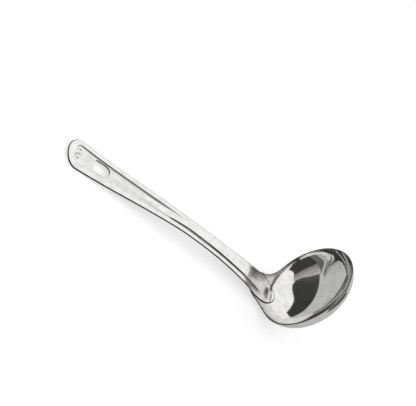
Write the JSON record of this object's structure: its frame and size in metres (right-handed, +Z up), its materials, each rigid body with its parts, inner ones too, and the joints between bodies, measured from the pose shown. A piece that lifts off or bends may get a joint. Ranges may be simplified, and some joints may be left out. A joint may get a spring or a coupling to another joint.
{
  "type": "soup ladle",
  "caption": "Polished steel soup ladle: round pressed bowl, lapped foot, arched ribbed handle with a sunken tip panel and a hang slot.",
  "frame": {"origin": "on the table, below the middle of the ladle's length, as it lies with the tip of the handle and the back of the neck down", "axes": "+X along the ladle from the handle's tip to the bowl, +Y across it, +Z up from the table; the XZ plane is the plane of symmetry"},
  "size_m": [0.2724, 0.09, 0.0839],
  "materials": {
    "bowl_steel": "polished stainless sheet with fine wiping marks",
    "handle_steel": "polished stainless sheet with faint lengthwise polishing"
  },
  "bodies": {
    "root": {"bowl": "bowl_steel", "handle": "handle_steel"}
  },
  "joints": []
}
